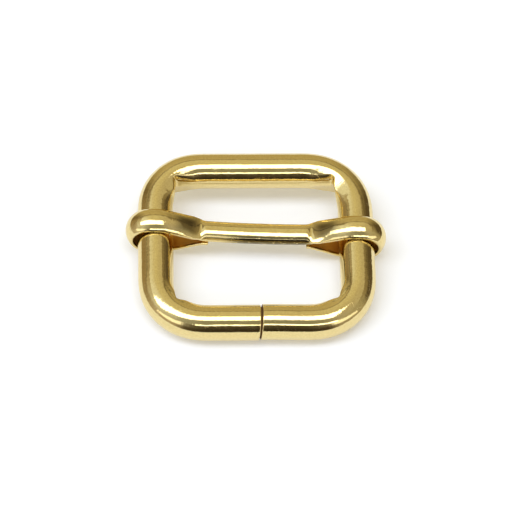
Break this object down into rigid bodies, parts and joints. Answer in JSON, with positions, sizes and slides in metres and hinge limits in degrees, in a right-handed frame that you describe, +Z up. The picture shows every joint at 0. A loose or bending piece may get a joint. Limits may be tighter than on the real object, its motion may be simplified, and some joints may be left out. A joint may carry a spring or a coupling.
{
  "type": "buckle slider",
  "caption": "Strap slider of bent round wire, with a formed bar that slides along the frame's side rails to set a strap's length.",
  "frame": {"origin": "under the middle of the wire frame, on the surface that the slider lies on, which is the underside of the bar's loops", "axes": "+X across the strap and along the front bar, +Y along the strap from the front bar with the butt joint to the back bar, +Z up out of the frame's plane"},
  "size_m": [0.0396, 0.0318, 0.0081],
  "materials": {
    "plated_wire": "polished gold-coloured plating on steel wire",
    "plated_strip": "polished gold-coloured plating on formed steel strip"
  },
  "bodies": {
    "frame": {"wire_frame": "plated_wire"},
    "bar": {"slide_bar": "plated_strip"}
  },
  "joints": [
    {"name": "bar_slide", "type": "slide", "parent": "frame", "child": "bar", "axis": [0, 1, 0], "range_m": [-0.0071, 0.0031]}
  ]
}
